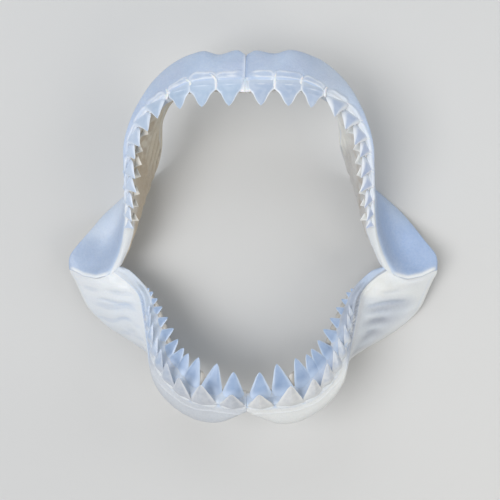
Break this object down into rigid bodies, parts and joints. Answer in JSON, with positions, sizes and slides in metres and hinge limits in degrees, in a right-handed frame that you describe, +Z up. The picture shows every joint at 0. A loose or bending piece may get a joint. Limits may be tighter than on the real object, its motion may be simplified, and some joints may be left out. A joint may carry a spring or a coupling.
{
  "type": "shark jaw",
  "caption": "Dried jaws of a large shark, set wide open: toothed upper and lower arches that meet in broad wings at the hinges and rest on their rear edges.",
  "frame": {"origin": "middle of the bounding box in X and Y, at the level of the floor that the rear edges of the cartilages rest on", "axes": "+Z up, the way the open mouth faces as the jaws lie on their back; +Y from the hinges to the middle of the upper jaw; +X to the shark's own left"},
  "size_m": [0.5792, 0.5392, 0.1739],
  "materials": {
    "cartilage_with_teeth": "dried, bleached cartilage and teeth, off-white with a cool cast, satin"
  },
  "bodies": {
    "root": {"upper_jaw_left": "cartilage_with_teeth", "upper_jaw_right": "cartilage_with_teeth", "lower_jaw_left": "cartilage_with_teeth", "lower_jaw_right": "cartilage_with_teeth"}
  },
  "joints": []
}
